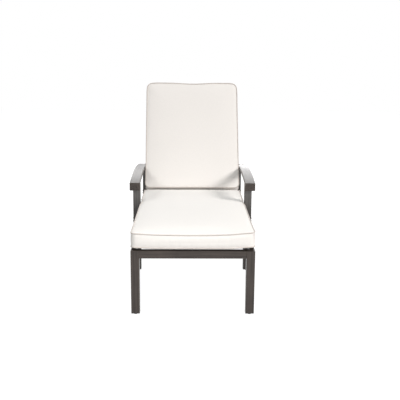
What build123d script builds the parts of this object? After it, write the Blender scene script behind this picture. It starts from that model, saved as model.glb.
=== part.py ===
from build123d import *
import math
import os

# Adjustable chaise longue: a tube frame on six legs, two arched armrests, a back that
# reclines on two pivot bolts and is held up by a prop whose foot bar sits in two notched
# racks, and two welted box cushions on aluminium slats.
#
# Millimetres. X runs across, +Y towards the head end, +Z up. The origin is on the floor
# under the middle of the whole frame. Right means +X. Parts of the back and the prop are
# drawn lying flat and then raised to the upright stop.

# Clearances
slip = 0.3
tight_fit = 0.05
pin_play = 0.05
hole_play = 0.2
plug_play = 0.2
overrun = 5.0

# Frame tube
frame_width = 644.0
frame_top = 348.0
rail_height = 40.0
side_rail_width = 25.0
rear_end_gap = 3.0
front_rail_depth = 40.0
rear_rail_depth = 25.0
tube_wall = 2.0
tube_corner = 3.0
cap_thickness = 3.0

# Legs
leg_size = 45.0
leg_corner = 3.5
leg_cap_thickness = 2.0
leg_cap_edge = 1.0
arm_front_leg_at = 745.0
arm_rear_leg_at = 1620.0

# Glides under the legs
glide_height = 8.0
glide_radius = 14.0
glide_chamfer = 5.0
glide_flange = 2.0
plug_depth = 15.0

# Armrests
arm_width = 63.0
arm_inset = 1.0
arm_thickness = 20.0
arm_nose_height = 47.0
arm_sweep_radius = 3000.0
arm_apex_at = 1100.0
arm_apex_height = 590.0
arm_nose_round = 6.0
arm_edge_round = 2.5

# Cross tubes under the side rails
cross_depth = 40.0
cross_height = 25.0
cross_end_inset = 4.0
cross_cap_thickness = 2.0

# Slats
slat_width = 50.0
slat_height = 8.0
slat_wall = 2.0
slat_round = 3.0
seat_slat_count = 10
seat_slat_first = 78.0
seat_slat_last_to_pivot = 82.0
seat_slat_end_inset = 4.0
back_slat_count = 7
back_slat_first = 92.0
back_slat_last_to_rail = 35.0

# Bolts that hold the armrest legs to the side rails
bolt_radius = 4.0
bolt_head_radius = 7.0
bolt_head_height = 4.5
head_crown_share = 0.55
bolt_spacing = 18.0
insert_length = 40.0

# Back frame and its pivot
back_angle = 67.0
pivot_at = 1222.0
stile_width = 25.0
stile_depth = 32.0
stile_tail = 16.0
stile_length = 829.0
stile_gap = 2.0
back_rail_width = 25.0
back_bottom_rail_at = 30.0
back_top_rail_margin = 3.0
stile_cap_thickness = 2.0
pivot_radius = 5.0
pivot_head_radius = 9.0
pivot_head_height = 5.0
bush_wall = 2.5
bush_flange_radius = 12.0
bush_flange = 1.7
sleeve_wall = 3.0
nut_sides = 6
nut_width = 17.0
nut_height = 6.0
nut_dome_radius = 7.0

# Prop and racks
prop_length = 360.0
prop_arm_width = 25.0
prop_arm_thickness = 6.0
prop_washer_thickness = 1.2
prop_washer_radius = 11.0
prop_pin_radius = 5.0
pin_head_radius = 9.0
pin_head_height = 5.0
pin_head_edge = 2.0
foot_bar_radius = 8.0
rack_to_prop = 23.5
rack_thickness = 6.0
rack_height = 36.0
rack_overhang = 30.0
rack_foot_inset = 12.0
rack_corner = 6.0
rack_crest_gap = 0.5
notch_depth = 6.0
notch_ramp = 38.0
notch_round = 4.0
back_stop_angles = (67.0, 55.0, 42.0, 28.0)
rest_pad_width = 20.0
rest_pad_length = 30.0

# Cushions
cushion_side_gap = 5.0
cushion_band = 82.0
cushion_crown = 8.0
cushion_corner = 30.0
cushion_draw_in = 5.0
seat_cushion_front = 12.0
seat_cushion_to_pivot = 10.0
back_cushion_foot = 72.0
back_cushion_overhang = 20.0

# Places that follow from the sizes above
stile_reach = stile_length - stile_tail + stile_cap_thickness
side_rail_length = pivot_at + stile_reach + rear_end_gap + rear_rail_depth - leg_size
frame_length = leg_size + side_rail_length + cap_thickness
front = -frame_length / 2
half_width = frame_width / 2
rail_inner = half_width - side_rail_width
rail_bottom = frame_top - rail_height
rail_middle = frame_top - rail_height / 2
rail_end = front + leg_size + side_rail_length
leg_bottom = glide_height + glide_flange
leg_inner = half_width - leg_size
post_outer = half_width + leg_size
slat_top = frame_top + slat_height
stile_outer = rail_inner - stile_gap
stile_inner = stile_outer - stile_width
stile_middle = stile_outer - stile_width / 2
pivot_y = front + pivot_at
pivot_z = frame_top - stile_depth / 2
prop_outer = stile_inner - prop_washer_thickness - slip
prop_inner = prop_outer - prop_arm_thickness
prop_pivot_y = pivot_y + prop_length
foot_y = prop_pivot_y + prop_length
rack_at = prop_inner - rack_to_prop
rack_crest = pivot_z - foot_bar_radius - rack_crest_gap
arm_inner = half_width + arm_inset
arm_centre_y = front + arm_apex_at
arm_centre_z = arm_apex_height - arm_sweep_radius
arm_front = front + arm_front_leg_at - arm_thickness
arm_rear = front + arm_rear_leg_at + leg_size + arm_thickness
cushion_floor = slat_top + slip
cushion_width = frame_width - 2 * cushion_side_gap
seat_cushion_length = pivot_at - seat_cushion_front - seat_cushion_to_pivot
back_cushion_length = stile_reach + back_cushion_overhang - back_cushion_foot

PIVOT_AXIS = Axis((0, pivot_y, pivot_z), (1, 0, 0))
PROP_AXIS = Axis((0, prop_pivot_y, pivot_z), (1, 0, 0))


def block(x0, x1, y0, y1, z0, z1):
    """A box between two corners."""
    size = Box(x1 - x0, y1 - y0, z1 - z0)
    return Pos((x0 + x1) / 2, (y0 + y1) / 2, (z0 + z1) / 2) * size


def rod(radius, x0, x1, y, z):
    """A round bar across the frame, from x0 to x1."""
    plane = Plane(origin=(x0, y, z), x_dir=(0, 1, 0), z_dir=(1, 0, 0))
    return extrude(plane * Circle(radius), amount=x1 - x0)


def ring(outer, inner, x0, x1, y, z):
    """A washer, bush or sleeve across the frame."""
    return rod(outer, x0, x1, y, z) - rod(inner, x0 - overrun, x1 + overrun, y, z)


def along_y(x, y, z):
    """A drawing plane that faces the head end."""
    return Plane(origin=(x, y, z), x_dir=(1, 0, 0), z_dir=(0, 1, 0))


def along_x(x, y, z):
    """A drawing plane that faces right, with its own x along +Y."""
    return Plane(origin=(x, y, z), x_dir=(0, 1, 0), z_dir=(1, 0, 0))


def tube(plane, width, height, length, corner=tube_corner):
    """A rectangular tube that starts on a plane."""
    skin = RectangleRounded(width, height, corner)
    bore = Rectangle(width - 2 * tube_wall, height - 2 * tube_wall)
    return extrude(plane * (skin - bore), amount=length)


def inside_tube(width, height):
    """The section of what slides into a rectangular tube."""
    shrink = 2 * (tube_wall + plug_play)
    return Rectangle(width - shrink, height - shrink)


def lid(width, height, corner):
    """The outline of a cap, its corners cut so that they stay inside a tube's rounded corners."""
    outline = Rectangle(width, height)
    return chamfer(outline.vertices(), corner * (2 - math.sqrt(2)))


def plug(plane, width, height):
    """The stem of an end plug, pushed back into a rectangular tube."""
    return extrude(plane * inside_tube(width, height), amount=-plug_depth)


def mirrored(part):
    """The left-hand twin of a right-hand part."""
    return mirror(part, about=Plane.YZ)


def both(part):
    """A right-hand part and its left-hand twin, as separate solids."""
    return Compound([*part.solids(), *mirrored(part).solids()])


def raised(part):
    """Turns a part of the back from lying flat to its upright stop."""
    return part.rotate(PIVOT_AXIS, back_angle)


def propped(part):
    """Turns a part of the prop from folded flat to its place under the upright back."""
    return raised(part.rotate(PROP_AXIS, -2 * back_angle))


def leg_places():
    """Centres of the right-hand legs: the front one, then the armrest's front and rear ones."""
    front_leg = (half_width - leg_size / 2, front + leg_size / 2)
    post_x = half_width + leg_size / 2
    arm_front_leg = (post_x, front + arm_front_leg_at + leg_size / 2)
    arm_rear_leg = (post_x, front + arm_rear_leg_at + leg_size / 2)
    return front_leg, arm_front_leg, arm_rear_leg


# Frame


def front_rail():
    plane = along_x(-leg_inner, front + front_rail_depth / 2, rail_middle)
    return tube(plane, front_rail_depth, rail_height, 2 * leg_inner)


def rear_rail():
    plane = along_x(-rail_inner, rail_end - rear_rail_depth / 2, rail_middle)
    return tube(plane, rear_rail_depth, rail_height, 2 * rail_inner)


def side_rail():
    middle = half_width - side_rail_width / 2
    plane = along_y(middle, front + leg_size, rail_middle)
    rail = tube(plane, side_rail_width, rail_height, side_rail_length)
    reach = (rail_inner - overrun, half_width + overrun)
    rail -= rod(pivot_radius + hole_play, *reach, pivot_y, pivot_z)
    for y, z in arm_bolt_places():
        rail -= rod(bolt_radius + hole_play, middle, half_width + overrun, y, z)
    return rail


def cross_tube(place):
    half = half_width - cross_end_inset
    plane = along_x(-half, place + cross_depth / 2, rail_bottom - cross_height / 2)
    return tube(plane, cross_depth, cross_height, 2 * half)


def cross_tube_places():
    """Front edges of the four cross tubes: one at each armrest leg, one at each end of the racks."""
    set_back = (leg_size - cross_depth) / 2
    at_front_legs = front + arm_front_leg_at + set_back
    at_rear_legs = front + arm_rear_leg_at + set_back
    rack_front, rack_rear = rack_ends()
    return at_front_legs, rack_front + rack_foot_inset, at_rear_legs, rack_rear - cross_depth


def cross_tube_caps():
    half = half_width - cross_end_inset
    caps = []
    for place in cross_tube_places():
        plane = along_x(half, place + cross_depth / 2, rail_bottom - cross_height / 2)
        cap = extrude(plane * lid(cross_depth, cross_height, tube_corner), amount=cross_cap_thickness)
        caps.append(both(cap + plug(plane, cross_depth, cross_height)))
    return Compound([solid for pair in caps for solid in pair.solids()])


def rail_end_caps():
    plane = along_y(half_width - side_rail_width / 2, rail_end, rail_middle)
    cap = extrude(plane * lid(side_rail_width, rail_height, tube_corner), amount=cap_thickness)
    return both(cap + plug(plane, side_rail_width, rail_height))


# Legs


def leg_tube(x, y, top):
    plane = Plane(origin=(x, y, leg_bottom), x_dir=(1, 0, 0), z_dir=(0, 0, 1))
    return tube(plane, leg_size, leg_size, top - leg_bottom, corner=leg_corner)


def front_leg():
    x, y = leg_places()[0]
    return leg_tube(x, y, frame_top - leg_cap_thickness)


def leg_top_caps():
    x, y = leg_places()[0]
    plane = Plane(origin=(x, y, frame_top - leg_cap_thickness))
    cap = extrude(plane * RectangleRounded(leg_size, leg_size, leg_corner), amount=leg_cap_thickness)
    top_edges = cap.faces().sort_by(Axis.Z)[-1].edges()
    return both(chamfer(top_edges, leg_cap_edge))


def under_arm():
    """Everything below the underside of an armrest."""
    radius = arm_sweep_radius - arm_thickness
    return rod(radius, half_width - overrun, post_outer + overrun, arm_centre_y, arm_centre_z)


def arm_leg(place):
    x, y = place
    leg = leg_tube(x, y, arm_apex_height) & under_arm()
    for bolt_y, bolt_z in arm_bolt_places():
        reach = (half_width - overrun, post_outer + overrun)
        leg -= rod(bolt_radius + hole_play, *reach, bolt_y, bolt_z)
    return leg


def leg_glides():
    """A square plug with a round foot, pushed into the bottom of each leg."""
    foot = extrude(Circle(glide_radius), amount=glide_height)
    foot = chamfer(foot.faces().sort_by(Axis.Z)[0].edges(), glide_chamfer)
    flange = Pos(0, 0, glide_height) * lid(leg_size, leg_size, leg_corner)
    glide = foot + extrude(flange, amount=glide_flange)
    downwards = Plane(origin=(0, 0, leg_bottom), x_dir=(1, 0, 0), z_dir=(0, 0, -1))
    glide += plug(downwards, leg_size, leg_size)
    glides = [both(Pos(x, y, 0) * glide) for x, y in leg_places()]
    return Compound([solid for pair in glides for solid in pair.solids()])


# Armrests


def arm_height(y, depth=0.0):
    """Height of the armrest's sweep at y, a depth below its top."""
    radius = arm_sweep_radius - depth
    return arm_centre_z + math.sqrt(radius**2 - (y - arm_centre_y) ** 2)


def armrest():
    """A flat bar that sweeps over both legs, with its ends turned down in front and behind."""
    front_inside = arm_front + arm_thickness
    rear_inside = arm_rear - arm_thickness
    front_foot = arm_height(arm_front) - arm_nose_height
    rear_foot = arm_height(arm_rear) - arm_nose_height
    top_apex = (arm_centre_y, arm_apex_height)
    under_apex = (arm_centre_y, arm_apex_height - arm_thickness)
    front_under = (front_inside, arm_height(front_inside, arm_thickness))
    rear_under = (rear_inside, arm_height(rear_inside, arm_thickness))
    outline = (
        ThreePointArc((arm_front, arm_height(arm_front)), top_apex, (arm_rear, arm_height(arm_rear)))
        + Polyline(
            (arm_rear, arm_height(arm_rear)), (arm_rear, rear_foot), (rear_inside, rear_foot), rear_under
        )
        + ThreePointArc(rear_under, under_apex, front_under)
        + Polyline(
            front_under, (front_inside, front_foot), (arm_front, front_foot),
            (arm_front, arm_height(arm_front)),
        )
    )
    arm = extrude(along_x(arm_inner, 0, 0) * make_face(outline), amount=arm_width)
    across = arm.edges().filter_by(Axis.X)
    nose_tops = [
        edge for edge in across
        if edge.center().Z > arm_height(arm_rear) - overrun
        and min(abs(edge.center().Y - arm_front), abs(edge.center().Y - arm_rear)) < arm_edge_round
    ]
    arm = fillet(nose_tops, arm_nose_round)
    outer_faces = arm.faces().sort_by(Axis.X)
    rims = [edge for face in (outer_faces[0], outer_faces[-1]) for edge in face.edges()]
    return fillet(rims, arm_edge_round)


def arm_bolt_places():
    """Two bolts through each armrest leg, one above the other."""
    return [
        (y, rail_middle + side * bolt_spacing / 2)
        for x, y in leg_places()[1:]
        for side in (-1, 1)
    ]


def button_head(x, y, z, radius, height):
    """The head of a bolt, narrower towards its top, with its flat side against x."""
    side = Polyline((0, 0), (0, radius), (height, radius * head_crown_share), (height, 0), close=True)
    return Pos(x, y, z) * revolve(make_face(side), axis=Axis.X)


def arm_bolts():
    """Button-head bolts, heads on the outside."""
    end = rail_inner + tube_wall + slip
    bolts = []
    for y, z in arm_bolt_places():
        head = button_head(post_outer, y, z, bolt_head_radius, bolt_head_height)
        bolts.append(both(head + rod(bolt_radius, end, post_outer, y, z)))
    return Compound([solid for pair in bolts for solid in pair.solids()])


def rail_inserts():
    """Tapped blocks inside the side rails that the armrest bolts screw into."""
    section = inside_tube(side_rail_width, rail_height)
    inserts = []
    for x, y in leg_places()[1:]:
        plane = along_y(half_width - side_rail_width / 2, y - insert_length / 2, rail_middle)
        insert = extrude(plane * section, amount=insert_length)
        for bolt_y, bolt_z in arm_bolt_places():
            insert -= rod(bolt_radius + tight_fit, rail_inner, half_width, bolt_y, bolt_z)
        inserts.append(both(insert))
    return Compound([solid for pair in inserts for solid in pair.solids()])


# Slats


def slat(y, half_length):
    """A shallow channel laid open side down and welded to the rails or stiles under its ends."""
    skin = Rectangle(slat_width, slat_height)
    skin = fillet(skin.vertices().group_by(Axis.Y)[-1], slat_round)
    bore = Rectangle(slat_width - 2 * slat_wall, slat_height - slat_wall)
    section = skin - Pos(0, -slat_wall / 2) * bore
    plane = along_x(-half_length, y, frame_top + slat_height / 2)
    return extrude(plane * section, amount=2 * half_length)


def evenly(first, last, count):
    """Places at equal steps from the first to the last."""
    return [first + i * (last - first) / (count - 1) for i in range(count)]


def seat_slat_places():
    return evenly(front + seat_slat_first, pivot_y - seat_slat_last_to_pivot, seat_slat_count)


def back_slat_places():
    return evenly(pivot_y + back_slat_first, back_top_rail_y() - back_slat_last_to_rail, back_slat_count)


# Back frame, drawn flat


def stile():
    plane = along_y(stile_middle, pivot_y - stile_tail, pivot_z)
    bar = tube(plane, stile_width, stile_depth, stile_length)
    reach = (stile_inner - overrun, stile_outer + overrun)
    bar -= rod(pivot_radius + bush_wall + tight_fit, *reach, pivot_y, pivot_z)
    return bar - rod(prop_pin_radius + tight_fit, *reach, prop_pivot_y, pivot_z)


def stile_end_caps():
    plane = along_y(stile_middle, pivot_y - stile_tail + stile_length, pivot_z)
    cap = extrude(plane * lid(stile_width, stile_depth, tube_corner), amount=stile_cap_thickness)
    return both(cap + plug(plane, stile_width, stile_depth))


def back_rail(y):
    plane = along_x(-stile_inner, y + back_rail_width / 2, pivot_z)
    return tube(plane, back_rail_width, stile_depth, 2 * stile_inner)


def back_top_rail_y():
    """The lower edge of the top rail."""
    return pivot_y - stile_tail + stile_length - back_top_rail_margin - back_rail_width


def back_top_rail():
    return back_rail(back_top_rail_y())


def back_bottom_rail():
    return back_rail(pivot_y + back_bottom_rail_at)


# Back pivot


def pivot_bolts():
    bolt = rod(pivot_radius, stile_inner - bush_flange - nut_height, half_width, pivot_y, pivot_z)
    return both(bolt + button_head(half_width, pivot_y, pivot_z, pivot_head_radius, pivot_head_height))


def pivot_sleeves():
    """Spacers inside the side rails that stop the pivot bolts from crushing them."""
    x0 = rail_inner + tube_wall + plug_play
    x1 = half_width - tube_wall - plug_play
    inner = pivot_radius + hole_play
    return both(ring(inner + sleeve_wall, inner, x0, x1, pivot_y, pivot_z))


def stile_bushes():
    """Flanged bushes that the back turns on, one flange on each side of the stile."""
    bore = pivot_radius + pin_play
    barrel = ring(pivot_radius + bush_wall, bore, stile_inner, stile_outer, pivot_y, pivot_z)
    outer = ring(bush_flange_radius, bore, stile_outer, stile_outer + bush_flange, pivot_y, pivot_z)
    inner = ring(bush_flange_radius, bore, stile_inner - bush_flange, stile_inner, pivot_y, pivot_z)
    return both(barrel + outer + inner)


def pivot_nuts():
    """Domed nuts on the inner ends of the pivot bolts."""
    x1 = stile_inner - bush_flange - slip
    hexagon = RegularPolygon(nut_width / 2, nut_sides, major_radius=False)
    nut = extrude(along_x(x1, pivot_y, pivot_z) * hexagon, amount=-nut_height)
    dome = Pos(x1 - nut_height, pivot_y, pivot_z) * Sphere(nut_dome_radius)
    nut += dome & block(
        x1 - nut_height - nut_dome_radius, x1 - nut_height,
        pivot_y - nut_width, pivot_y + nut_width, pivot_z - nut_width, pivot_z + nut_width,
    )
    return both(nut - rod(pivot_radius, x1 - nut_height - slip, x1 + overrun, pivot_y, pivot_z))


# Prop, drawn folded flat


def prop_arm():
    middle = (prop_pivot_y + foot_y) / 2
    plane = along_x(prop_inner, middle, pivot_z)
    arm = extrude(plane * SlotCenterToCenter(prop_length, prop_arm_width), amount=prop_arm_thickness)
    reach = (prop_inner - overrun, prop_outer + overrun)
    arm -= rod(prop_pin_radius + pin_play, *reach, prop_pivot_y, pivot_z)
    arm -= rod(foot_bar_radius + tight_fit, *reach, foot_y, pivot_z)
    return arm


def prop_foot_bar():
    return rod(foot_bar_radius, -prop_outer, prop_outer, foot_y, pivot_z)


def prop_washers():
    outer = prop_washer_radius
    inner = prop_pin_radius + pin_play
    x0 = stile_inner - prop_washer_thickness
    return both(ring(outer, inner, x0, stile_inner, prop_pivot_y, pivot_z))


def prop_pins():
    """Headed pins through the stiles that the prop swings on."""
    x1 = prop_inner - slip
    x0 = x1 - pin_head_height
    head = rod(pin_head_radius, x0, x1, prop_pivot_y, pivot_z)
    head = chamfer(head.faces().sort_by(Axis.X)[0].edges(), pin_head_edge)
    return both(head + rod(prop_pin_radius, x1, stile_outer, prop_pivot_y, pivot_z))


# Racks


def foot_travel(angle):
    """Distance of the foot bar behind the pivot when the back stands at an angle."""
    return 2 * prop_length * math.cos(math.radians(angle))


def rack_ends():
    """Front and rear ends of the racks."""
    return pivot_y + foot_travel(back_stop_angles[0]) - rack_overhang, foot_y + rack_overhang


def rack():
    """A notched plate that straddles three cross tubes, one notch for each stop of the back."""
    y0, y1 = rack_ends()
    x0 = rack_at - rack_thickness / 2
    outline = RectangleRounded(y1 - y0, rack_height, rack_corner)
    plane = along_x(x0, (y0 + y1) / 2, rack_crest - rack_height / 2)
    plate = extrude(plane * outline, amount=rack_thickness)
    floor = rack_crest - notch_depth
    for angle in back_stop_angles:
        y = pivot_y + foot_travel(angle)
        steep = y + foot_bar_radius + slip
        notch = make_face(Polyline(
            (y - foot_bar_radius - notch_ramp, rack_crest), (y - notch_round, floor), (steep, floor),
            (steep, rack_crest + overrun), (y - foot_bar_radius - notch_ramp, rack_crest + overrun),
            close=True,
        ))
        notch = fillet(notch.vertices().sort_by(Axis.Y)[:2].sort_by(Axis.X)[-1], notch_round)
        plate -= extrude(along_x(x0 - overrun, 0, 0) * notch, amount=rack_thickness + 2 * overrun)
    for y in cross_tube_places()[1:]:
        plate -= block(
            x0 - overrun, x0 + rack_thickness + overrun,
            y - tight_fit, y + cross_depth + tight_fit,
            rack_crest - rack_height - overrun, rail_bottom,
        )
    return plate


def rest_pads():
    """Rubber pads that the back lies on when it is flat."""
    middle = cross_tube_places()[-1] + cross_depth / 2
    pad = block(
        stile_middle - rest_pad_width / 2, stile_middle + rest_pad_width / 2,
        middle - rest_pad_length / 2, middle + rest_pad_length / 2,
        rail_bottom, frame_top - stile_depth - slip,
    )
    return both(pad)


# Cushions


def crown_profile(length):
    """The side view of a cushion: flat below, straight bands at the ends, crowned above."""
    half = length / 2
    return make_face(
        ThreePointArc((-half, cushion_band), (0, cushion_band + cushion_crown), (half, cushion_band))
        + Polyline((half, cushion_band), (half, 0), (-half, 0), (-half, cushion_band))
    )


def cushion(length):
    """A box cushion on the XY plane, its sides drawn in between the corners."""
    w = cushion_width / 2
    h = length / 2
    waist = w - cushion_draw_in
    end = h - cushion_draw_in
    plan = make_face(
        ThreePointArc((-w, -h), (0, -end), (w, -h))
        + ThreePointArc((w, -h), (waist, 0), (w, h))
        + ThreePointArc((w, h), (0, end), (-w, h))
        + ThreePointArc((-w, h), (-waist, 0), (-w, -h))
    )
    plan = fillet(plan.vertices(), cushion_corner)
    body = extrude(plan, amount=cushion_band + cushion_crown)
    across = extrude(Plane.XZ * crown_profile(cushion_width), amount=length, both=True)
    lengthwise = extrude(Plane.YZ * crown_profile(length), amount=cushion_width, both=True)
    return body & across & lengthwise


def back_cushion():
    middle = pivot_y + back_cushion_foot + back_cushion_length / 2
    return Pos(0, middle, cushion_floor) * cushion(back_cushion_length)


def seat_cushion():
    """The seat cushion, pressed down at its head end where the back cushion stands on it."""
    middle = front + seat_cushion_front + seat_cushion_length / 2
    pad = Pos(0, middle, cushion_floor) * cushion(seat_cushion_length)
    foot = pivot_y + back_cushion_foot - 2 * slip
    pressed = block(
        -cushion_width, cushion_width, foot, foot + back_cushion_length,
        frame_top, cushion_floor + 2 * cushion_band,
    )
    return pad - raised(pressed)


def write(name, part):
    export_step(part, f"parts/{name}.step")


def write_pair(name, part):
    write(f"{name}_right", part)
    write(f"{name}_left", mirrored(part))


def main():
    os.makedirs("parts", exist_ok=True)
    arm_front_place, arm_rear_place = leg_places()[1:]
    write("front_rail", front_rail())
    write("rear_rail", rear_rail())
    write_pair("side_rail", side_rail())
    names = ("arm_front_cross_tube", "rack_front_cross_tube", "arm_rear_cross_tube", "rack_rear_cross_tube")
    for name, place in zip(names, cross_tube_places()):
        write(name, cross_tube(place))
    write("cross_tube_caps", cross_tube_caps())
    write("rail_end_caps", rail_end_caps())
    write_pair("front_leg", front_leg())
    write("leg_top_caps", leg_top_caps())
    write_pair("arm_front_leg", arm_leg(arm_front_place))
    write_pair("arm_rear_leg", arm_leg(arm_rear_place))
    write("leg_glides", leg_glides())
    write_pair("armrest", armrest())
    write("arm_bolts", arm_bolts())
    write("rail_inserts", rail_inserts())
    for i, y in enumerate(seat_slat_places(), 1):
        write(f"seat_slat_{i:02d}", slat(y, half_width - seat_slat_end_inset))
    write_pair("back_stile", raised(stile()))
    write("stile_end_caps", raised(stile_end_caps()))
    write("back_top_rail", raised(back_top_rail()))
    write("back_bottom_rail", raised(back_bottom_rail()))
    for i, y in enumerate(back_slat_places(), 1):
        write(f"back_slat_{i}", raised(slat(y, stile_outer)))
    write("pivot_bolts", pivot_bolts())
    write("pivot_sleeves", pivot_sleeves())
    write("pivot_nuts", pivot_nuts())
    write("stile_bushes", raised(stile_bushes()))
    write("prop_arm_right", propped(prop_arm()))
    write("prop_arm_left", propped(mirrored(prop_arm())))
    write("prop_foot_bar", propped(prop_foot_bar()))
    write("prop_washers", raised(prop_washers()))
    write("prop_pins", raised(prop_pins()))
    write_pair("rack", rack())
    write("rest_pads", rest_pads())
    write("seat_cushion", seat_cushion())
    write("back_cushion", raised(back_cushion()))


main()
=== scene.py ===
import math

import bmesh
import bpy
from mathutils import Matrix, Vector, noise


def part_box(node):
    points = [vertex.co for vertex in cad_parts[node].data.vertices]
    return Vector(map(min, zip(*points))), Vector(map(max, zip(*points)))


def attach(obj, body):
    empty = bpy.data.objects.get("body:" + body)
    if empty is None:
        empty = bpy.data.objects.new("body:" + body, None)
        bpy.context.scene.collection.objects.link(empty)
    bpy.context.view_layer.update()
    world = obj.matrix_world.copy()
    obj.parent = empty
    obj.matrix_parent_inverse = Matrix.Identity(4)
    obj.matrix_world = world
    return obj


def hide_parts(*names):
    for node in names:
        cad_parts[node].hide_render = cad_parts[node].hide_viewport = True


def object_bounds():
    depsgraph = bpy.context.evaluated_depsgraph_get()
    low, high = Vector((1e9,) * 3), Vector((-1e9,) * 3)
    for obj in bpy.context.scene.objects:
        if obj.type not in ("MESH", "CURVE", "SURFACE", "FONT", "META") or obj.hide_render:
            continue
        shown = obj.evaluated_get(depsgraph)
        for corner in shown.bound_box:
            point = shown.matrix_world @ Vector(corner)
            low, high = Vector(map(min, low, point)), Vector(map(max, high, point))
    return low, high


# Adjustable chaise longue: a brushed bronze tube frame with two arched armrests and a back
# that reclines, under two off-white welted box cushions. Metres, in the frame of the model.
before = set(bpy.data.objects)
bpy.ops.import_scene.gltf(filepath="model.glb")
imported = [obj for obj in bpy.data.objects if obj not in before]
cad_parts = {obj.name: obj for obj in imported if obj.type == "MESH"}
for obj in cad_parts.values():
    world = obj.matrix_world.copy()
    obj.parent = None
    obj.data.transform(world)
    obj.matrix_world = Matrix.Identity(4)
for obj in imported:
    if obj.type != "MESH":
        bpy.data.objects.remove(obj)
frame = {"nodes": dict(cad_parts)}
nodes = frame["nodes"]
cad_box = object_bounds()
ground = cad_box[0].z

# Camera: a long lens at standing height, on the chaise's long axis, looking at the foot end
# and a little down.
camera_at = Vector((-0.0206, -4.3598, 1.3345))
look_down = math.radians(12.155)
look_right = math.radians(0.948)
camera_roll = math.radians(0.398)
focal_in_frames = 1.68098
camera_data = bpy.data.cameras.new("camera")
camera_data.sensor_width = 36.0
camera_data.lens = focal_in_frames * camera_data.sensor_width
camera = bpy.data.objects.new("camera", camera_data)
camera.matrix_world = (
    Matrix.Translation(camera_at)
    @ Matrix.Rotation(-look_right, 4, "Z")
    @ Matrix.Rotation(math.pi / 2 - look_down, 4, "X")
    @ Matrix.Rotation(camera_roll, 4, "Z")
)
bpy.context.scene.collection.objects.link(camera)
bpy.context.scene.camera = camera
bpy.context.scene.view_settings.view_transform = "Standard"


# Studio: a seamless white floor and surround. The surround looks white to the camera and in
# reflections, and lights the chaise at a lower level. The floor still takes its shadow.
def shown_white(nodes, links):
    """A factor of 1 for what the camera, a reflection or a refraction sees, and 0 for light."""
    path = nodes.new("ShaderNodeLightPath")
    seen = nodes.new("ShaderNodeMath")
    seen.operation = "MAXIMUM"
    links.new(path.outputs["Is Camera Ray"], seen.inputs[0])
    links.new(path.outputs["Is Glossy Ray"], seen.inputs[1])
    also = nodes.new("ShaderNodeMath")
    also.operation = "MAXIMUM"
    links.new(seen.outputs[0], also.inputs[0])
    links.new(path.outputs["Is Transmission Ray"], also.inputs[1])
    return also.outputs[0]


surround_light = 0.18
world = bpy.data.worlds.new("surround")
world.use_nodes = True
bpy.context.scene.world = world
tree = world.node_tree
background = tree.nodes["Background"]
background.inputs["Color"].default_value = (1, 1, 1, 1)
level = tree.nodes.new("ShaderNodeMapRange")
level.inputs["To Min"].default_value = surround_light
level.inputs["To Max"].default_value = 1.0
tree.links.new(shown_white(tree.nodes, tree.links), level.inputs["Value"])
tree.links.new(level.outputs["Result"], background.inputs["Strength"])

floor_size = 24.0
floor_drop = 0.0005
floor_tone = (0.2, 0.2, 0.2, 1)
floor_glow = 0.96
floor_white = bpy.data.materials.new("studio_white")
floor_white.use_nodes = True
tree = floor_white.node_tree
paper = tree.nodes["Principled BSDF"]
paper.inputs["Base Color"].default_value = floor_tone
paper.inputs["Roughness"].default_value = 0.9
paper.inputs["Specular IOR Level"].default_value = 0.0
paper.inputs["Emission Color"].default_value = (1, 1, 1, 1)
glow = tree.nodes.new("ShaderNodeMath")
glow.operation = "MULTIPLY"
glow.inputs[1].default_value = floor_glow
tree.links.new(shown_white(tree.nodes, tree.links), glow.inputs[0])
tree.links.new(glow.outputs[0], paper.inputs["Emission Strength"])
bm = bmesh.new()
bmesh.ops.create_grid(bm, x_segments=1, y_segments=1, size=floor_size / 2)
bmesh.ops.translate(bm, verts=bm.verts, vec=(0, 0, ground - floor_drop))
mesh = bpy.data.meshes.new("studio_floor")
bm.to_mesh(mesh)
bm.free()
mesh.materials.append(floor_white)
floor = bpy.data.objects.new("studio_floor", mesh)
bpy.context.scene.collection.objects.link(floor)


# Lamps: a strong one high on the right, a weaker one on the left and a low wide one in front, one
# above for the seat, and three behind for the tops of the armrests and the back's edges. Those
# that would glare on the tubes are kept out of reflections.
def soft_lamp(name, at, aim, size, power, colour=(1, 1, 1), in_reflections=True):
    light = bpy.data.lights.new(name, "AREA")
    light.shape = "RECTANGLE"
    light.size, light.size_y = size
    light.energy = power
    light.color = colour
    lamp = bpy.data.objects.new(name, light)
    facing = (Vector(aim) - Vector(at)).to_track_quat("-Z", "Y")
    lamp.matrix_world = Matrix.Translation(at) @ facing.to_matrix().to_4x4()
    lamp.visible_camera = False
    lamp.visible_glossy = in_reflections
    bpy.context.scene.collection.objects.link(lamp)


warm, cool = (1.0, 0.97, 0.96), (0.93, 0.985, 1.02)
soft_lamp(
    "key_lamp", at=(6.0, -4.0, 4.5), aim=(0, 0.2, 0.5), size=(2.1, 2.1), power=464,
    colour=warm, in_reflections=False,
)
soft_lamp("left_lamp", at=(-3.2, -3.0, 3.7), aim=(0, 0, 0.5), size=(1.3, 1.3), power=56)
soft_lamp(
    "foot_lamp", at=(0, -2.3, 0.78), aim=(0, -1.0, 0.4), size=(1.6, 0.3), power=12.3,
    in_reflections=False,
)
soft_lamp(
    "top_lamp", at=(0, 1.7, 4.5), aim=(0, -0.4, 0.4), size=(2.4, 2.8), power=86,
    colour=cool, in_reflections=False,
)
soft_lamp(
    "back_lamp", at=(0, 4.2, 1.3), aim=(0, 0.4, 0.6), size=(3.0, 1.2), power=45,
    in_reflections=False,
)
soft_lamp("arm_end_lamp", at=(1.15, 5.0, 0.85), aim=(0.35, 0.3, 0.57), size=(0.9, 0.5), power=9)
soft_lamp("rim_lamp", at=(0, 5.0, 2.2), aim=(0, 0, 0.6), size=(3.6, 1.4), power=35)


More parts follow.
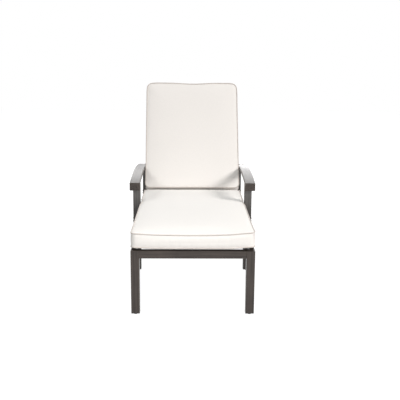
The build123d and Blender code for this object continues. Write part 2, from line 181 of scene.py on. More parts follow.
# Frame finish: extruded aluminium under a dark bronze coat that is rubbed along each tube, so
# that fine lighter lines run lengthwise and the tone drifts slowly from place to place.
line_stretch = 0.03


def rubbed_lines_group():
    group = bpy.data.node_groups.new("rubbed_lines", "ShaderNodeTree")
    group.interface.new_socket("Vector", in_out="INPUT", socket_type="NodeSocketVector")
    for name, value in (("Fine Scale", 90.0), ("Drift Scale", 7.0), ("Grain Scale", 900.0)):
        socket = group.interface.new_socket(name, in_out="INPUT", socket_type="NodeSocketFloat")
        socket.default_value = value
    for name in ("Lines", "Drift", "Grain"):
        group.interface.new_socket(name, in_out="OUTPUT", socket_type="NodeSocketFloat")
    enter = group.nodes.new("NodeGroupInput")
    leave = group.nodes.new("NodeGroupOutput")
    stretched = group.nodes.new("ShaderNodeVectorMath")
    stretched.operation = "MULTIPLY"
    stretched.inputs[1].default_value = (1.0, 1.0, line_stretch)
    group.links.new(enter.outputs["Vector"], stretched.inputs[0])
    for name, scale, vector, detail in (
        ("Lines", "Fine Scale", stretched.outputs[0], 5.0),
        ("Drift", "Drift Scale", enter.outputs["Vector"], 3.0),
        ("Grain", "Grain Scale", enter.outputs["Vector"], 2.0),
    ):
        pattern = group.nodes.new("ShaderNodeTexNoise")
        pattern.inputs["Detail"].default_value = detail
        pattern.inputs["Roughness"].default_value = 0.6
        group.links.new(vector, pattern.inputs["Vector"])
        group.links.new(enter.outputs[scale], pattern.inputs["Scale"])
        group.links.new(pattern.outputs["Fac"], leave.inputs[name])
    return group


rubbed_lines = rubbed_lines_group()
bronze_dark = (0.0195, 0.0142, 0.0116)
bronze_light = (0.0625, 0.048, 0.040)
dark_up_to, light_from = 0.37, 0.62
lines_share = 0.62
coat_roughness = (0.36, 0.52)


def bronze_finish(name, turn, dark=bronze_dark, light=bronze_light, painted_shade_between=None):
    """Bronze coat, rubbed along the direction that the turn brings to local Z. Between two
    heights, where these are given, it goes from nearly black to its own tone: painted shade,
    darker towards the floor."""
    material = bpy.data.materials.new(name)
    material.use_nodes = True
    tree = material.node_tree
    coat = tree.nodes["Principled BSDF"]
    coat.inputs["Metallic"].default_value = 0.35
    coat.inputs["Specular IOR Level"].default_value = 0.5
    coat.inputs["Coat Weight"].default_value = 0.35
    coat.inputs["Coat Roughness"].default_value = 0.22
    place = tree.nodes.new("ShaderNodeTexCoord")
    along = tree.nodes.new("ShaderNodeMapping")
    along.inputs["Rotation"].default_value = turn
    lines = tree.nodes.new("ShaderNodeGroup")
    lines.node_tree = rubbed_lines
    tree.links.new(place.outputs["Object"], along.inputs["Vector"])
    tree.links.new(along.outputs["Vector"], lines.inputs["Vector"])
    tone = tree.nodes.new("ShaderNodeMath")
    tone.operation = "MULTIPLY_ADD"
    tone.inputs[1].default_value = lines_share
    tree.links.new(lines.outputs["Lines"], tone.inputs[0])
    share = tree.nodes.new("ShaderNodeMath")
    share.operation = "MULTIPLY"
    share.inputs[1].default_value = 1 - lines_share
    tree.links.new(lines.outputs["Drift"], share.inputs[0])
    tree.links.new(share.outputs[0], tone.inputs[2])
    ramp = tree.nodes.new("ShaderNodeValToRGB")
    ramp.color_ramp.elements[0].position = dark_up_to
    ramp.color_ramp.elements[0].color = (*dark, 1)
    ramp.color_ramp.elements[1].position = light_from
    ramp.color_ramp.elements[1].color = (*light, 1)
    tree.links.new(tone.outputs[0], ramp.inputs["Fac"])
    colour = ramp.outputs["Color"]
    # Painted shade: below the given heights the coat turns nearly black, darker towards the floor.
    if painted_shade_between:
        height = tree.nodes.new("ShaderNodeSeparateXYZ")
        tree.links.new(place.outputs["Object"], height.inputs[0])
        painted_shade_fade = tree.nodes.new("ShaderNodeMapRange")
        painted_shade_fade.interpolation_type = "SMOOTHSTEP"
        painted_shade_fade.inputs["From Min"].default_value = painted_shade_between[0]
        painted_shade_fade.inputs["From Max"].default_value = painted_shade_between[1]
        tree.links.new(height.outputs["Z"], painted_shade_fade.inputs["Value"])
        blend = tree.nodes.new("ShaderNodeMix")
        blend.data_type = "RGBA"
        tree.links.new(painted_shade_fade.outputs["Result"], blend.inputs["Factor"])
        blend.inputs["A"].default_value = (*bronze_dark, 1)
        tree.links.new(colour, blend.inputs["B"])
        colour = blend.outputs["Result"]
    tree.links.new(colour, coat.inputs["Base Color"])
    rough = tree.nodes.new("ShaderNodeMapRange")
    rough.inputs["To Min"].default_value = coat_roughness[0]
    rough.inputs["To Max"].default_value = coat_roughness[1]
    tree.links.new(lines.outputs["Drift"], rough.inputs["Value"])
    tree.links.new(rough.outputs["Result"], coat.inputs["Roughness"])
    bump = tree.nodes.new("ShaderNodeBump")
    bump.inputs["Strength"].default_value = 0.12
    bump.inputs["Distance"].default_value = 0.0004
    tree.links.new(lines.outputs["Lines"], bump.inputs["Height"])
    tree.links.new(bump.outputs["Normal"], coat.inputs["Normal"])
    return material


back_angle = math.radians(67.0)
bronze_up = bronze_finish("bronze_rubbed_upwards", (0, 0, 0))
# The arm legs' coat is a lighter, greyer copy of the bronze, as painted light on the posts.
# Between 0.52 m and 0.28 m it fades to nearly black, as painted shade low down.
arm_leg_dark_painted_lighter = (0.052, 0.049, 0.046)
arm_leg_light_painted_lighter = (0.138, 0.131, 0.124)
bronze_arm_legs_painted_light_shade = bronze_finish(
    "bronze_on_arm_legs_painted_light_and_shade", (0, 0, 0), arm_leg_dark_painted_lighter, arm_leg_light_painted_lighter,
    painted_shade_between=(0.28, 0.52),
)
bronze_across = bronze_finish("bronze_rubbed_across", (0, math.pi / 2, 0))
bronze_along = bronze_finish("bronze_rubbed_lengthwise", (math.pi / 2, 0, 0))
bronze_back = bronze_finish("bronze_rubbed_up_the_back", (math.pi / 2 - back_angle, 0, 0))


def finish_nodes(material, names):
    for name in names:
        for slot in nodes[name].material_slots:
            slot.material = material


legs = ["front_leg_right", "front_leg_left"]
arm_legs = [name for name in nodes if name.startswith("arm_") and "_leg_" in name]
crosswise = [name for name in nodes if "slat" in name or "cross_tube" in name]
crosswise += ["front_rail", "rear_rail", "back_top_rail", "back_bottom_rail", "prop_foot_bar"]
lengthwise_starts = ("side_rail", "armrest", "rack_left", "rack_right")
lengthwise = [name for name in nodes if name.startswith(lengthwise_starts)]
up_the_back = [name for name in nodes if name.startswith(("back_stile", "prop_arm"))]
finish_nodes(bronze_up, legs)
finish_nodes(bronze_arm_legs_painted_light_shade, arm_legs)
finish_nodes(bronze_across, crosswise)
finish_nodes(bronze_along, lengthwise)
finish_nodes(bronze_back, up_the_back)


# Plastic caps, glides, bushes and washers: black moulded polypropylene with a fine matt grain,
# pressed into the tube ends. The rest pads are moulded rubber, glued on the last cross tube.
deepest_tone, palest_tone = 0.7, 1.5
smoother_by, rougher_by = 0.08, 0.1


def moulded_finish(name, colour, roughness, grain):
    material = bpy.data.materials.new(name)
    material.use_nodes = True
    tree = material.node_tree
    body = tree.nodes["Principled BSDF"]
    place = tree.nodes.new("ShaderNodeTexCoord")
    lines = tree.nodes.new("ShaderNodeGroup")
    lines.node_tree = rubbed_lines
    lines.inputs["Grain Scale"].default_value = grain
    tree.links.new(place.outputs["Object"], lines.inputs["Vector"])
    ramp = tree.nodes.new("ShaderNodeValToRGB")
    ramp.color_ramp.elements[0].color = (*[c * deepest_tone for c in colour], 1)
    ramp.color_ramp.elements[1].color = (*[c * palest_tone for c in colour], 1)
    tree.links.new(lines.outputs["Drift"], ramp.inputs["Fac"])
    tree.links.new(ramp.outputs["Color"], body.inputs["Base Color"])
    rough = tree.nodes.new("ShaderNodeMapRange")
    rough.inputs["To Min"].default_value = roughness - smoother_by
    rough.inputs["To Max"].default_value = roughness + rougher_by
    tree.links.new(lines.outputs["Grain"], rough.inputs["Value"])
    tree.links.new(rough.outputs["Result"], body.inputs["Roughness"])
    bump = tree.nodes.new("ShaderNodeBump")
    bump.inputs["Strength"].default_value = 0.2
    bump.inputs["Distance"].default_value = 0.0003
    tree.links.new(lines.outputs["Grain"], bump.inputs["Height"])
    tree.links.new(bump.outputs["Normal"], body.inputs["Normal"])
    return material


black_plastic = moulded_finish("black_moulded_plastic", (0.012, 0.012, 0.012), 0.5, 1400.0)
black_rubber = moulded_finish("black_moulded_rubber", (0.016, 0.016, 0.016), 0.75, 700.0)
plastic_parts = ["leg_glides", "cross_tube_caps", "rail_end_caps", "stile_end_caps"]
plastic_parts += ["stile_bushes", "prop_washers"]
finish_nodes(black_plastic, plastic_parts)
finish_nodes(black_rubber, ["rest_pads"])
finish_nodes(bronze_across, ["leg_top_caps"])


# Metal hardware: stainless bolts, pins and domed nuts, turned bright, and mill-finish aluminium
# blocks and sleeves inside the rails.
turning_lines = 400.0
line_tone = 0.8
polish_drift = 0.07


def bare_metal(name, colour, roughness):
    material = bpy.data.materials.new(name)
    material.use_nodes = True
    tree = material.node_tree
    body = tree.nodes["Principled BSDF"]
    body.inputs["Metallic"].default_value = 1.0
    place = tree.nodes.new("ShaderNodeTexCoord")
    lines = tree.nodes.new("ShaderNodeGroup")
    lines.node_tree = rubbed_lines
    lines.inputs["Fine Scale"].default_value = turning_lines
    tree.links.new(place.outputs["Object"], lines.inputs["Vector"])
    ramp = tree.nodes.new("ShaderNodeValToRGB")
    ramp.color_ramp.elements[0].color = (*[c * line_tone for c in colour], 1)
    ramp.color_ramp.elements[1].color = (*colour, 1)
    tree.links.new(lines.outputs["Lines"], ramp.inputs["Fac"])
    tree.links.new(ramp.outputs["Color"], body.inputs["Base Color"])
    rough = tree.nodes.new("ShaderNodeMapRange")
    rough.inputs["To Min"].default_value = roughness - polish_drift
    rough.inputs["To Max"].default_value = roughness + polish_drift
    tree.links.new(lines.outputs["Grain"], rough.inputs["Value"])
    tree.links.new(rough.outputs["Result"], body.inputs["Roughness"])
    return material


stainless = bare_metal("turned_stainless", (0.52, 0.50, 0.47), 0.3)
mill_aluminium = bare_metal("mill_aluminium", (0.62, 0.61, 0.59), 0.42)
finish_nodes(stainless, ["arm_bolts", "pivot_bolts", "pivot_nuts", "prop_pins"])
finish_nodes(mill_aluminium, ["rail_inserts", "pivot_sleeves"])


# Sockets: each bolt head has a hexagonal socket for the key that drives it, formed as the head
# is pressed, with a raised burr round it.
socket_radius = 0.0026
pivot_socket_radius = 1.35 * socket_radius
socket_wall = 0.0005
burr_height = 0.0005
socket_depth = 0.0004
bolt_spacing = 0.018
rail_middle = 0.328
pivot = Vector((0.0, 0.188, 0.332))
# The socket floors' near-black colour is painted shade.
socket_floor_painted_shade = bare_metal("socket_floor_painted_shade", (0.05, 0.047, 0.043), 0.5)


def hex_socket(bm, face_x, y, z, radius):
    """A hexagonal collar on the outer face of a bolt head, with its floor painted nearly black as
    shade.
    """
    outward = math.copysign(1, face_x)
    place = Matrix.Translation((face_x, y, z)) @ Matrix.Rotation(outward * math.pi / 2, 4, "Y")
    flat = bmesh.ops.create_circle(bm, segments=6, radius=radius, cap_ends=True, matrix=place)
    top = flat["verts"][0].link_faces[0]
    raised = bmesh.ops.extrude_face_region(bm, geom=[top])["geom"]
    rim = [part for part in raised if isinstance(part, bmesh.types.BMVert)]
    bmesh.ops.translate(bm, verts=rim, vec=(outward * burr_height, 0, 0))
    opening = [part for part in raised if isinstance(part, bmesh.types.BMFace)]
    bmesh.ops.inset_region(bm, faces=opening, thickness=socket_wall)
    sunk = bmesh.ops.extrude_face_region(bm, geom=opening)["geom"]
    bmesh.ops.delete(bm, geom=opening, context="FACES_ONLY")
    floor_verts = [part for part in sunk if isinstance(part, bmesh.types.BMVert)]
    bmesh.ops.translate(bm, verts=floor_verts, vec=(-outward * socket_depth, 0, 0))
    for part in sunk:
        if isinstance(part, bmesh.types.BMFace):
            part.material_index = 1


bm = bmesh.new()
bolt_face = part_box("arm_bolts")[1].x
pivot_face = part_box("pivot_bolts")[1].x
for side in (-1, 1):
    for leg in ("arm_front_leg_right", "arm_rear_leg_right"):
        leg_low, leg_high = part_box(leg)
        leg_middle = (leg_low.y + leg_high.y) / 2
        for up in (-0.5, 0.5):
            bolt_height = rail_middle + up * bolt_spacing
            hex_socket(bm, side * bolt_face, leg_middle, bolt_height, socket_radius)
    hex_socket(bm, side * pivot_face, pivot.y, pivot.z, pivot_socket_radius)
bmesh.ops.recalc_face_normals(bm, faces=bm.faces)
mesh = bpy.data.meshes.new("bolt_sockets")
bm.to_mesh(mesh)
bm.free()
mesh.materials.append(stainless)
mesh.materials.append(socket_floor_painted_shade)
sockets = bpy.data.objects.new("bolt_sockets", mesh)
bpy.context.scene.collection.objects.link(sockets)
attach(sockets, "base")


# Weld beads: the slats, cross tubes and end rails are welded to the side rails and stiles, and
# the bronze coat covers the rippled beads.
bead_radius = 0.0022
ripple = 0.0034
ripple_height = 0.16
rings_per_ripple = 3
tip_length = ripple / 20
tip_fullness = 0.5


def weld_bead(bm, start, end):
    """One rippled bead from start to end."""
    start, end = Vector(start), Vector(end)
    along = (end - start).normalized()
    length = (end - start).length
    facing = along.to_track_quat("Z", "Y").to_matrix().to_4x4()
    first = len(bm.verts)
    bmesh.ops.create_cone(
        bm, cap_ends=True, segments=8, radius1=bead_radius, radius2=bead_radius, depth=length,
        matrix=Matrix.Translation((start + end) / 2) @ facing,
    )
    bm.verts.ensure_lookup_table()
    sides = [
        edge for v in bm.verts[first:] for edge in v.link_edges
        if (edge.other_vert(v).co - v.co).dot(along) > length / 2
    ]
    cuts = max(rings_per_ripple, round(length / ripple * rings_per_ripple))
    bmesh.ops.subdivide_edges(bm, edges=sides, cuts=cuts)
    bm.verts.ensure_lookup_table()
    for v in bm.verts[first:]:
        way = (v.co - start).dot(along)
        middle = start + along * way
        at_tip = min(way, length - way) < tip_length
        rippled = 1 + ripple_height * math.sin(2 * math.pi * way / ripple)
        v.co = middle + (v.co - middle) * (tip_fullness if at_tip else rippled)


def bead_piece(name, bm, body):
    bmesh.ops.recalc_face_normals(bm, faces=bm.faces)
    for face in bm.faces:
        face.smooth = True
    mesh = bpy.data.meshes.new(name)
    bm.to_mesh(mesh)
    bm.free()
    mesh.materials.append(bronze_across)
    beads = bpy.data.objects.new(name, mesh)
    bpy.context.scene.collection.objects.link(beads)
    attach(beads, body)


rail_inner_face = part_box("side_rail_right")[0].x
bead_into_rail = 0.0015
slat_end_bare = 0.002
rail_end_bare = 0.003
bm = bmesh.new()
for name in nodes:
    low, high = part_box(name)
    if name.startswith("seat_slat") or name.endswith("cross_tube"):
        height = low.z if name.startswith("seat_slat") else high.z
        for side in (-1, 1):
            for y in (low.y, high.y):
                ends = (rail_inner_face + bead_into_rail, high.x - slat_end_bare)
                weld_bead(bm, *[(side * x, y, height) for x in ends])
    elif name in ("front_rail", "rear_rail"):
        for side in (-1, 1):
            ends = (low.z + rail_end_bare, high.z - rail_end_bare)
            weld_bead(bm, *[(side * high.x, high.y, z) for z in ends])
bead_piece("frame_weld_beads", bm, "base")

stile_gap = 0.002
stile_width = 0.025
stile_outer_side = rail_inner_face - stile_gap
slat_half_width = 0.025
slat_half_height = 0.004
back_slat_end_bare = 0.001
up_the_back_way = Vector((0, math.cos(back_angle), math.sin(back_angle)))
out_of_the_back = Vector((0, -math.sin(back_angle), math.cos(back_angle)))
bm = bmesh.new()
for name in nodes:
    if name.startswith("back_slat"):
        low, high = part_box(name)
        ends = (stile_outer_side - stile_width, min(high.x, stile_outer_side) - back_slat_end_bare)
        for side in (-1, 1):
            for edge in (-1, 1):
                seam = (low + high) / 2 + up_the_back_way * slat_half_width * edge
                seam -= out_of_the_back * slat_half_height
                weld_bead(bm, *[(side * x, seam.y, seam.z) for x in ends])
bead_piece("back_weld_beads", bm, "backrest")


# Cushion cover: a plain-woven off-white acrylic, yarn about a millimetre across, with slightly
# thicker yarns here and there in both directions.
yarns_per_metre = 900.0
slub_scale = 260.0


def plain_weave_group():
    group = bpy.data.node_groups.new("plain_weave", "ShaderNodeTree")
    group.interface.new_socket("Cloth", in_out="INPUT", socket_type="NodeSocketVector")
    pitch = group.interface.new_socket(
        "Yarns Per Metre", in_out="INPUT", socket_type="NodeSocketFloat"
    )
    pitch.default_value = yarns_per_metre
    group.interface.new_socket("Height", in_out="OUTPUT", socket_type="NodeSocketFloat")
    group.interface.new_socket("Slubs", in_out="OUTPUT", socket_type="NodeSocketFloat")
    enter = group.nodes.new("NodeGroupInput")
    leave = group.nodes.new("NodeGroupOutput")
    split = group.nodes.new("ShaderNodeSeparateXYZ")
    group.links.new(enter.outputs["Cloth"], split.inputs[0])
    yarn_heights = []
    for axis in ("X", "Y"):
        phase = group.nodes.new("ShaderNodeMath")
        phase.operation = "MULTIPLY"
        group.links.new(split.outputs[axis], phase.inputs[0])
        group.links.new(enter.outputs["Yarns Per Metre"], phase.inputs[1])
        turn = group.nodes.new("ShaderNodeMath")
        turn.operation = "MULTIPLY"
        turn.inputs[1].default_value = math.pi
        group.links.new(phase.outputs[0], turn.inputs[0])
        wave = group.nodes.new("ShaderNodeMath")
        wave.operation = "SINE"
        group.links.new(turn.outputs[0], wave.inputs[0])
        size = group.nodes.new("ShaderNodeMath")
        size.operation = "ABSOLUTE"
        group.links.new(wave.outputs[0], size.inputs[0])
        yarn_heights.append(size.outputs[0])
    over = group.nodes.new("ShaderNodeTexChecker")
    over.inputs["Color1"].default_value = (1, 1, 1, 1)
    over.inputs["Color2"].default_value = (0, 0, 0, 1)
    flat = group.nodes.new("ShaderNodeVectorMath")
    flat.operation = "MULTIPLY"
    flat.inputs[1].default_value = (1, 1, 0)
    group.links.new(enter.outputs["Cloth"], flat.inputs[0])
    group.links.new(flat.outputs[0], over.inputs["Vector"])
    group.links.new(enter.outputs["Yarns Per Metre"], over.inputs["Scale"])
    woven = group.nodes.new("ShaderNodeMix")
    woven.data_type = "FLOAT"
    group.links.new(over.outputs["Fac"], woven.inputs["Factor"])
    group.links.new(yarn_heights[0], woven.inputs["A"])
    group.links.new(yarn_heights[1], woven.inputs["B"])
    group.links.new(woven.outputs["Result"], leave.inputs["Height"])
    thick_yarns = []
    for stretch in ((1, 0.15, 1), (0.15, 1, 1)):
        scaled = group.nodes.new("ShaderNodeVectorMath")
        scaled.operation = "MULTIPLY"
        scaled.inputs[1].default_value = stretch
        group.links.new(enter.outputs["Cloth"], scaled.inputs[0])
        pattern = group.nodes.new("ShaderNodeTexNoise")
        pattern.inputs["Scale"].default_value = slub_scale
        pattern.inputs["Detail"].default_value = 3.0
        group.links.new(scaled.outputs[0], pattern.inputs["Vector"])
        thick_yarns.append(pattern.outputs["Fac"])
    both = group.nodes.new("ShaderNodeMix")
    both.data_type = "FLOAT"
    both.inputs["Factor"].default_value = 0.5
    group.links.new(thick_yarns[0], both.inputs["A"])
    group.links.new(thick_yarns[1], both.inputs["B"])
    group.links.new(both.outputs["Result"], leave.inputs["Slubs"])
    return group


plain_weave = plain_weave_group()
thin_yarn_tone = 0.975


def cover_cloth(name, shade):
    """The cover's cloth, laid out by the cloth's own UV map, which is in metres."""
    material = bpy.data.materials.new(name)
    material.use_nodes = True
    tree = material.node_tree
    body = tree.nodes["Principled BSDF"]
    body.inputs["Roughness"].default_value = 0.88
    body.inputs["Specular IOR Level"].default_value = 0.25
    body.inputs["Sheen Weight"].default_value = 0.12
    body.inputs["Sheen Roughness"].default_value = 0.5
    laid = tree.nodes.new("ShaderNodeUVMap")
    laid.uv_map = "cloth"
    weave = tree.nodes.new("ShaderNodeGroup")
    weave.node_tree = plain_weave
    tree.links.new(laid.outputs["UV"], weave.inputs["Cloth"])
    ramp = tree.nodes.new("ShaderNodeValToRGB")
    ramp.color_ramp.elements[0].position = 0.36
    ramp.color_ramp.elements[0].color = (*[c * thin_yarn_tone for c in shade], 1)
    ramp.color_ramp.elements[1].position = 0.6
    ramp.color_ramp.elements[1].color = (*shade, 1)
    tree.links.new(weave.outputs["Slubs"], ramp.inputs["Fac"])
    tree.links.new(ramp.outputs["Color"], body.inputs["Base Color"])
    slub_bump = tree.nodes.new("ShaderNodeBump")
    slub_bump.inputs["Strength"].default_value = 0.25
    slub_bump.inputs["Distance"].default_value = 0.0005
    tree.links.new(weave.outputs["Slubs"], slub_bump.inputs["Height"])
    yarn_bump = tree.nodes.new("ShaderNodeBump")
    yarn_bump.inputs["Strength"].default_value = 0.3
    yarn_bump.inputs["Distance"].default_value = 0.0003
    tree.links.new(weave.outputs["Height"], yarn_bump.inputs["Height"])
    tree.links.new(slub_bump.outputs["Normal"], yarn_bump.inputs["Normal"])
    tree.links.new(yarn_bump.outputs["Normal"], body.inputs["Normal"])
    return material


cover_shade = (0.885, 0.855, 0.816)
# The welts are of the cover's own cloth. Their darker colour is painted shade along the seams.
welt_painted_shade_factor = (0.71, 0.675, 0.655)
welt_painted_shade_colour = tuple(c * k for c, k in zip(cover_shade, welt_painted_shade_factor))
cover = cover_cloth("woven_cover", cover_shade)
welt_cloth_painted_shade = cover_cloth("welt_cover_painted_shade", welt_painted_shade_colour)


# Seat cushion: a foam block in a sewn cover, its top and bottom panels joined to a band by
# welted seams. It lies on the seat slats, and its head end is pressed down by the back cushion.
cloth_cell = 0.0105
band_rows = 8
band_height = 0.082
draw_in = 0.001
crown = 0.007
dome_reach = 0.13
slack = 0.0025
bulge_reach = 0.08
band_wrinkle = 0.0016
wrinkle_scale = Vector((5, 5, 75))
pucker = 0.0012
pucker_reach = 0.035
pucker_scale = 42.0
unevenness = 0.0016
unevenness_scale = 6.5
unevenness_shift = Vector((0, 0, 9))
welt_radius = 0.0032
welt_stand = 0.35 * welt_radius
underside_rise = 0.0042
underside_round = 0.030
seam_angle = 1.0
seam_crease = 0.9
seam_margin = 0.01
panel_slope = 0.7
seam_hold = 0.85
pressure = 4.0
cover_shrink = -0.006
swelling_frames = 20


def sewn_box(width, length, corner):
    """A cushion cover lying on the XY plane: a top panel, a bottom panel and the band between."""
    bm = bmesh.new()
    half_width, half_length = width / 2, length / 2
    bmesh.ops.create_grid(
        bm, x_segments=round(width / cloth_cell), y_segments=round(length / cloth_cell), size=1
    )
    inset = bm.verts.layers.float.new("inset")
    for v in bm.verts:
        x, y = v.co.x * half_width, v.co.y * half_length
        v[inset] = min(half_width - abs(x), half_length - abs(y))
        into_x = (abs(x) - half_width + corner) / corner
        into_y = (abs(y) - half_length + corner) / corner
        if into_x > 0 and into_y > 0:
            round_x = into_x * math.sqrt(1 - into_y**2 / 2)
            round_y = into_y * math.sqrt(1 - into_x**2 / 2)
            x = math.copysign(half_width - corner * (1 - round_x), x)
            y = math.copysign(half_length - corner * (1 - round_y), y)
        waist = 1 - draw_in / half_width * (1 - (y / half_length) ** 2)
        end = 1 - draw_in / half_length * (1 - (x / half_width) ** 2)
        v.co = (x * waist, y * end, band_height)
    panel = list(bm.faces)
    lower = bmesh.ops.duplicate(bm, geom=panel)["geom"]
    lower_faces = [part for part in lower if isinstance(part, bmesh.types.BMFace)]
    lower_verts = [part for part in lower if isinstance(part, bmesh.types.BMVert)]
    below = set(lower_faces)
    rim = [edge for edge in bm.edges if edge.is_boundary and edge.link_faces[0] not in below]
    for v in lower_verts:
        v.co.z = underside_rise * max(0.0, 1 - v[inset] / underside_round) ** 2
    bmesh.ops.reverse_faces(bm, faces=lower_faces)
    drop = (underside_rise - band_height) / band_rows
    for _ in range(band_rows):
        drawn = bmesh.ops.extrude_edge_only(bm, edges=rim)["geom"]
        rim = [part for part in drawn if isinstance(part, bmesh.types.BMEdge) and part.is_boundary]
        fresh = [part for part in drawn if isinstance(part, bmesh.types.BMVert)]
        bmesh.ops.translate(bm, verts=fresh, vec=(0, 0, drop))
    bmesh.ops.remove_doubles(bm, verts=bm.verts, dist=cloth_cell / 8)
    bmesh.ops.recalc_face_normals(bm, faces=bm.faces)
    return bm


def lay_out_cloth(bm):
    """Marks the seams, and gives each panel the cloth's own coordinates, in metres."""
    crease = bm.edges.layers.float.new("crease_edge")
    cloth = bm.loops.layers.uv.new("cloth")
    for edge in bm.edges:
        if edge.calc_face_angle() > seam_angle:
            edge.seam = True
            edge[crease] = seam_crease
    for face in bm.faces:
        face.smooth = True
        for loop in face.loops:
            place = loop.vert.co
            if abs(face.normal.z) > panel_slope:
                loop[cloth].uv = (place.x, place.y)
            elif abs(face.normal.x) > abs(face.normal.y):
                loop[cloth].uv = (place.y, place.z)
            else:
                loop[cloth].uv = (place.x, place.z)


def ease(value):
    """0 below 0, 1 above 1, and a smooth step between."""
    value = min(max(value, 0.0), 1.0)
    return value * value * (3 - 2 * value)


def plump_band(cushion, bulge):
    """Rounds the band between its seams, with soft lengthwise wrinkles, and puckers the seams."""
    inset = cushion.data.attributes["inset"].data
    outward = [v.normal.copy() for v in cushion.data.vertices]
    half_width = max(v.co.x for v in cushion.data.vertices)
    half_length = max(v.co.y for v in cushion.data.vertices)
    for v, normal in zip(cushion.data.vertices, outward):
        place = v.co.copy()
        high = (place.z - underside_rise) / (band_height - underside_rise)
        if inset[v.index].value == 0 and seam_margin < high < 1 - seam_margin:
            side = Vector((normal.x, normal.y, 0)).normalized()
            wrinkle = noise.noise(place * wrinkle_scale)
            from_corner = max(half_width - abs(place.x), half_length - abs(place.y))
            fullness = ease(from_corner / bulge_reach) * 4 * high * (1 - high)
            v.co += side * fullness * (bulge + band_wrinkle * wrinkle)
        elif 0 < inset[v.index].value < pucker_reach and place.z > band_height / 2:
            fade = 1 - inset[v.index].value / pucker_reach
            v.co += normal * pucker * fade * noise.noise(place * pucker_scale)
        if place.z > band_height / 2:
            fade = min(1.0, inset[v.index].value / pucker_reach)
            swelling = noise.noise(place * unevenness_scale + unevenness_shift)
            v.co += normal * unevenness * fade * swelling
    cushion.data.attributes.remove(cushion.data.attributes["inset"])


def swell(cushion):
    """Lets the cover swell over its foam, held on its underside and along its seams."""
    held = cushion.vertex_groups.new(name="held")
    seam_points = {i for edge in cushion.data.edges if edge.use_seam for i in edge.vertices}
    resting = underside_rise - cloth_cell / 50
    underside = [v.index for v in cushion.data.vertices if v.co.z < resting]
    held.add(sorted(seam_points), seam_hold, "REPLACE")
    held.add(underside, 1.0, "REPLACE")
    cloth = cushion.modifiers.new("swell", "CLOTH")
    cloth.settings.use_pressure = True
    cloth.settings.uniform_pressure_force = pressure
    cloth.settings.effector_weights.gravity = 0.0
    cloth.settings.vertex_group_mass = "held"
    cloth.settings.shrink_min = cover_shrink
    for number in range(1, swelling_frames + 1):
        bpy.context.scene.frame_set(number)
    swollen = cushion.evaluated_get(bpy.context.evaluated_depsgraph_get())
    targets = [v.co.copy() for v in swollen.data.vertices]
    cushion.modifiers.remove(cloth)
    inset = cushion.data.attributes["inset"].data
    for v, target in zip(cushion.data.vertices, targets):
        step = target - v.co
        near_seam = max(0.0, 1 - inset[v.index].value / dome_reach)
        most = slack + crown * (1 - near_seam**2)
        if step.length > most:
            step.length = most
        v.co += step


def welts(name, cushion, body):
    """A round welt along each seam of a cushion: a cord covered with the cover's own cloth,
    in a darker colour that is painted shade along the seam.
    """
    neighbours = {}
    for edge in cushion.data.edges:
        if edge.use_seam:
            a, b = edge.vertices
            neighbours.setdefault(a, []).append(b)
            neighbours.setdefault(b, []).append(a)
    curve = bpy.data.curves.new(name, "CURVE")
    curve.dimensions = "3D"
    curve.bevel_depth = welt_radius
    curve.bevel_resolution = 2
    curve.resolution_u = 2
    waiting = set(neighbours)
    while waiting:
        path = [min(waiting)]
        waiting.discard(path[0])
        while True:
            onward = [i for i in neighbours[path[-1]] if i in waiting]
            if not onward:
                break
            path.append(onward[0])
            waiting.discard(onward[0])
        spline = curve.splines.new("NURBS")
        spline.points.add(len(path) - 1)
        for point, i in zip(spline.points, path):
            v = cushion.data.vertices[i]
            point.co = (*(v.co + v.normal * welt_stand), 1)
        spline.use_cyclic_u = True
        spline.order_u = 4
    bent = bpy.data.objects.new(name, curve)
    mesh = bpy.data.meshes.new_from_object(bent)
    bpy.data.objects.remove(bent)
    for layer in list(mesh.uv_layers):
        mesh.uv_layers.remove(layer)
    laid = mesh.uv_layers.new(name="cloth")
    for loop in mesh.loops:
        place = mesh.vertices[loop.vertex_index].co
        laid.data[loop.index].uv = (place.x + place.y, place.z)
    mesh.materials.clear()
    mesh.materials.append(welt_cloth_painted_shade)
    for face in mesh.polygons:
        face.use_smooth = True
    piece = bpy.data.objects.new(name, mesh)
    bpy.context.scene.collection.objects.link(piece)
    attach(piece, body)


def cushion_piece(name, bm, bulge):
    """The cushion's object, swollen over its foam."""
    lay_out_cloth(bm)
    mesh = bpy.data.meshes.new(name)
    bm.to_mesh(mesh)
    bm.free()
    mesh.materials.append(cover)
    cushion = bpy.data.objects.new(name, mesh)
    bpy.context.scene.collection.objects.link(cushion)
    swell(cushion)
    plump_band(cushion, bulge)
    return cushion


def finish_cushion(cushion, place, body, node):
    """Puts a cushion in its place and lets it stand for its solid."""
    cushion.data.transform(place)
    cushion.data.update()
    smooth = cushion.modifiers.new("smooth", "SUBSURF")
    smooth.levels = smooth.render_levels = 1
    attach(cushion, body)
    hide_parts(node)


seat_low, seat_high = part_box("seat_cushion")
seat_width = seat_high.x - seat_low.x
seat_length = seat_high.y - seat_low.y
seat_cushion = cushion_piece(
    "seat_cushion_cover", sewn_box(seat_width, seat_length, corner=0.020), bulge=0.002
)
seat_middle = Vector(((seat_low.x + seat_high.x) / 2, (seat_low.y + seat_high.y) / 2, seat_low.z))

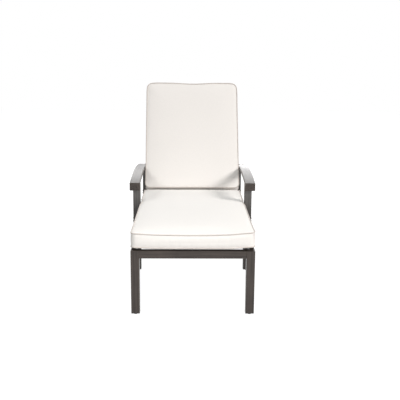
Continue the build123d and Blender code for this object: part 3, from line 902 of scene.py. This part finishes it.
# The front edge has settled between its corners, which stand a little high, the right one more.
edge_reach = 0.16
front_sag = 0.007
front_drop = 0.0035
corner_reach = 0.14
right_corner_lift = 0.008
left_corner_lift = 0.0045
lift_loss_at_top = 0.4
for v in seat_cushion.data.vertices:
    across = v.co.x / (seat_width / 2)
    high = v.co.z / band_height
    to_front = ease(1 - (v.co.y + seat_length / 2) / edge_reach)
    settled = front_drop * (1 - ease(across)) + front_sag * max(0.0, 1 - across**2)
    v.co.z -= high * to_front * settled
    corner_lift = right_corner_lift if across > 0 else left_corner_lift
    to_side = ease(1 - (seat_width / 2 - abs(v.co.x)) / corner_reach)
    v.co.z += corner_lift * to_side * to_front * (1 - lift_loss_at_top * high)

# The sides stand out over the rails and are pressed in where the arm's front legs stand.
side_stand = 0.0035
side_press = 0.001
press_reach = 0.055
legs_low, legs_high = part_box("arm_front_leg_right")
legs_at = (legs_low.y + legs_high.y) / 2 - seat_middle.y
leg_half = (legs_high.y - legs_low.y) / 2
for v in seat_cushion.data.vertices:
    pressed = ease(1 - (abs(v.co.y - legs_at) - leg_half) / press_reach)
    stand = side_stand - (side_stand + side_press) * pressed
    v.co.x += stand * ease(abs(v.co.x) / (seat_width / 2)) * math.copysign(1, v.co.x)

# The back cushion's underside presses on the seat cushion's head end.
back_foot = 0.072
foot_clearance = 0.0006 + 0.5 * welt_radius
for v in seat_cushion.data.vertices:
    place = v.co + seat_middle
    over = (place - pivot).dot(up_the_back_way) - (back_foot - foot_clearance)
    if over > 0 and v.co.z > 0:
        v.co.z = max(v.co.z - over / up_the_back_way.z, 0.0)
finish_cushion(seat_cushion, Matrix.Translation(seat_middle), "base", "seat_cushion")
welts("seat_cushion_welts", seat_cushion, "base")


# Back cushion: made like the seat cushion, as long as the back frame. It stands on the seat
# cushion, leans on the back slats and moves with the back.
back_length = 0.763
foot_roll = 0.017
roll_from = 0.4
foot_recess = 0.022
back_cushion = cushion_piece(
    "back_cushion_cover", sewn_box(seat_width, back_length, corner=0.030), bulge=0.0026
)
top_sag = 0.006
sag_half_width = 0.17
right_side_in = 0.007
right_side_out = 0.001
top_corner_reach = 0.07
top_corner_cut = 0.005
for v in back_cushion.data.vertices:
    from_side = seat_width / 2 - abs(v.co.x)
    from_top = back_length / 2 - v.co.y
    to_top = ease(1 - from_top / edge_reach)
    to_foot = ease(1 - (v.co.y + back_length / 2) / edge_reach)
    high = v.co.z / band_height
    v.co.y -= top_sag * to_top * ease(1 - abs(v.co.x) / sag_half_width)
    up_the_side = 0.5 + v.co.y / back_length
    lean = right_side_out + (-right_side_in - right_side_out) * up_the_side
    v.co.x += lean * ease(v.co.x / (seat_width / 2))
    cornered = ease(1 - from_side / top_corner_reach) * ease(1 - from_top / top_corner_reach)
    v.co.x -= math.copysign(top_corner_cut * cornered, v.co.x)
    v.co.y -= top_corner_cut * cornered
    v.co.y += foot_roll * to_foot * ease((high - roll_from) / (1 - roll_from))
    v.co.y += foot_recess * to_foot * max(0.0, 4 * high * (1 - high))
back_place = (
    Matrix.Translation(pivot)
    @ Matrix.Rotation(back_angle, 4, "X")
    @ Matrix.Translation((0, back_foot + back_length / 2, seat_low.z - pivot.z))
)
finish_cushion(back_cushion, back_place, "backrest", "back_cushion")
welts("back_cushion_welts", back_cushion, "backrest")
